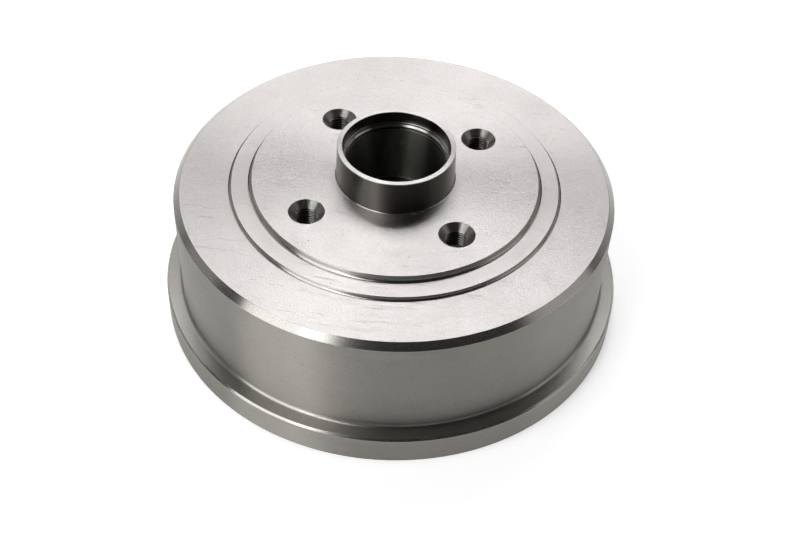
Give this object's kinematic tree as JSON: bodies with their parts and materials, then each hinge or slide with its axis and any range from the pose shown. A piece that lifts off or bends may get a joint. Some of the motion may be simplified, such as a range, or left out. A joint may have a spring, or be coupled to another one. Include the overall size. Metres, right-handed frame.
{
  "type": "brake drum",
  "caption": "Rear brake drum with the wheel hub cast in: a closed drum with a stepped face, threaded wheel bolt holes, a centring collar with a bearing seat, and a flange round its open edge.",
  "frame": {"origin": "centre of the open edge, in the plane that the drum stands on", "axes": "+Z along the drum's axis, from the open edge to the hub collar; the first wheel bolt hole lies 45 degrees from +X towards +Y"},
  "size_m": [0.2286, 0.2286, 0.0918],
  "materials": {
    "turned_iron": "turned bare metal with fine concentric tool marks; the inside of the web keeps its cast skin"
  },
  "bodies": {
    "root": {"brake_drum": "turned_iron"}
  },
  "joints": []
}
